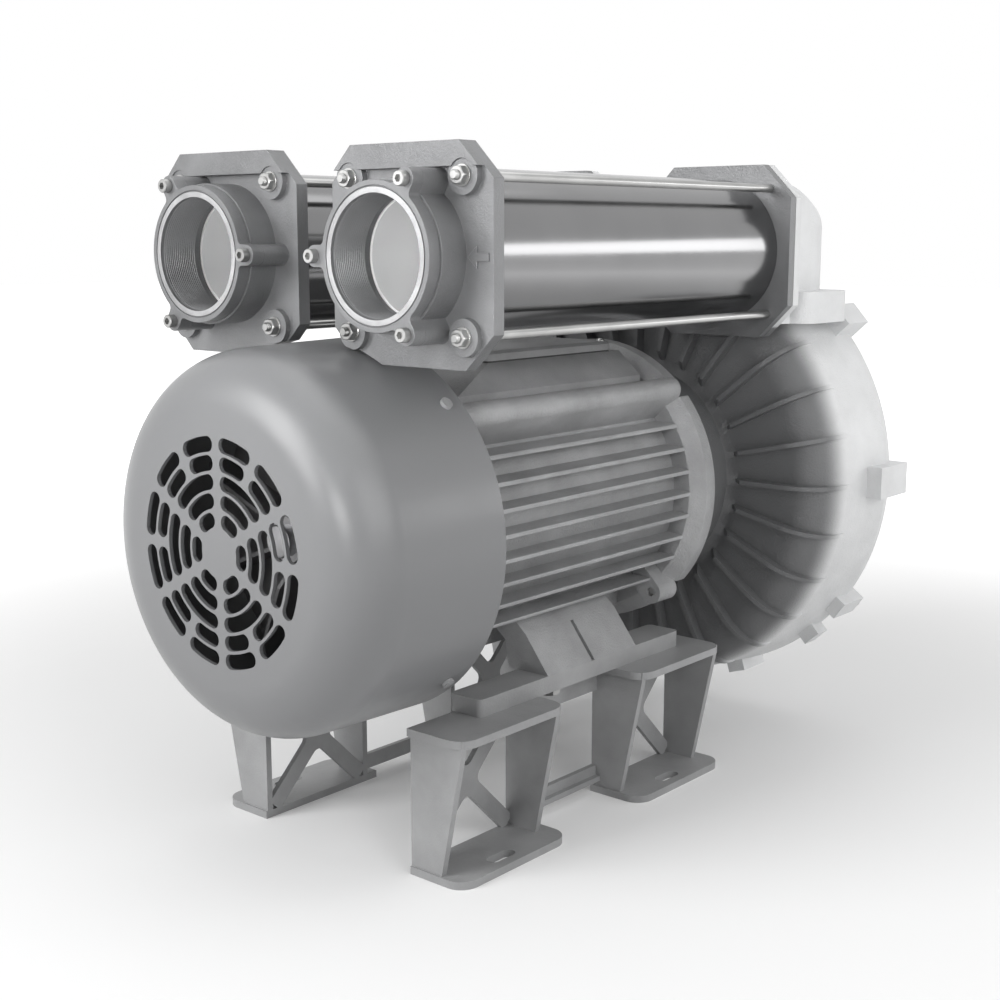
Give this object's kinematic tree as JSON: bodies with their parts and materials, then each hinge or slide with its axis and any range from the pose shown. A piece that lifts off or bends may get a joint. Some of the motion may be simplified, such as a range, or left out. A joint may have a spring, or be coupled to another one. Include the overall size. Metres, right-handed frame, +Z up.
{
  "type": "side channel blower",
  "caption": "Side channel blower: foot-mounted motor on braced rails, ribbed casing with a bladed impeller, and tubular silencers with threaded pipe ports",
  "frame": {"origin": "on the floor, under the middle of the overall box", "axes": "+X along the shaft from the fan end to the blower end, +Y across towards the outlet silencer, +Z up"},
  "size_m": [0.834, 0.568, 0.6919],
  "materials": {
    "motor_paint": "semi-gloss paint over cast metal",
    "base_paint": "satin paint over cast metal",
    "cast_aluminium": "satin, fine blasted casting",
    "tube_aluminium": "brushed, bright",
    "machined_steel": "turned",
    "zinc_steel": "bright zinc",
    "core_steel": "laminated",
    "copper": "varnished wire",
    "rubber": "matt",
    "gasket_sheet": "matt sheet",
    "fan_plastic": "moulded",
    "block_plastic": "moulded",
    "foam": "pressed absorbent"
  },
  "bodies": {
    "root": {"base_rail_left": "base_paint", "base_rail_right": "base_paint", "blower_casing": "cast_aluminium", "blower_cover": "cast_aluminium", "casing_bolts": "zinc_steel", "casing_mount_bolts": "zinc_steel", "casing_seal": "rubber", "drive_bearing_outer_ring": "machined_steel", "drive_end_shield": "motor_paint", "fan_bearing_outer_ring": "machined_steel", "fan_cover": "motor_paint", "fan_cover_screws": "motor_paint", "fan_end_shield": "motor_paint", "inlet_front_plate": "cast_aluminium", "inlet_port_flange": "cast_aluminium", "inlet_rear_plate": "cast_aluminium", "inlet_silencer_core": "tube_aluminium", "inlet_silencer_liner": "foam", "inlet_silencer_tube": "tube_aluminium", "lid_screws": "zinc_steel", "motor_foot_bolts": "zinc_steel", "motor_frame": "motor_paint", "outlet_front_plate": "cast_aluminium", "outlet_port_flange": "cast_aluminium", "outlet_rear_plate": "cast_aluminium", "outlet_silencer_core": "tube_aluminium", "outlet_silencer_liner": "foam", "outlet_silencer_tube": "tube_aluminium", "port_screws": "zinc_steel", "rail_bolts": "zinc_steel", "shaft_seal": "rubber", "shield_bolts": "zinc_steel", "silencer_gaskets": "gasket_sheet", "stator_core": "core_steel", "stator_windings": "copper", "support_bar_left": "base_paint", "support_bar_right": "base_paint", "terminal_block": "block_plastic", "terminal_box": "motor_paint", "terminal_box_gasket": "gasket_sheet", "terminal_box_lid": "motor_paint", "tie_rod_nuts": "zinc_steel", "tie_rods": "zinc_steel", "wave_spring": "machined_steel"},
    "rotor": {"shaft": "machined_steel", "rotor_core": "cast_aluminium", "cooling_fan": "fan_plastic", "fan_clamp": "machined_steel", "impeller": "cast_aluminium", "impeller_key": "machined_steel", "impeller_washer": "machined_steel", "impeller_bolt": "zinc_steel", "fan_bearing_inner_ring": "machined_steel", "drive_bearing_inner_ring": "machined_steel"},
    "fan_bearing_cage": {"fan_bearing_cage": "machined_steel"},
    "drive_bearing_cage": {"drive_bearing_cage": "machined_steel"}
  },
  "joints": [
    {"name": "rotor_spin", "type": "hinge", "parent": "root", "child": "rotor", "pos_m": [0, 0, 0.326], "axis": [1, 0, 0], "continuous": true},
    {"name": "fan_cage_spin", "type": "hinge", "parent": "root", "child": "fan_bearing_cage", "pos_m": [-0.26, 0, 0.326], "axis": [1, 0, 0], "continuous": true},
    {"name": "drive_cage_spin", "type": "hinge", "parent": "root", "child": "drive_bearing_cage", "pos_m": [0.1425, 0, 0.326], "axis": [1, 0, 0], "continuous": true}
  ],
  "couplings": [
    {"joint": "fan_cage_spin", "follows": "rotor_spin", "ratio": 0.4033},
    {"joint": "drive_cage_spin", "follows": "rotor_spin", "ratio": 0.39}
  ]
}
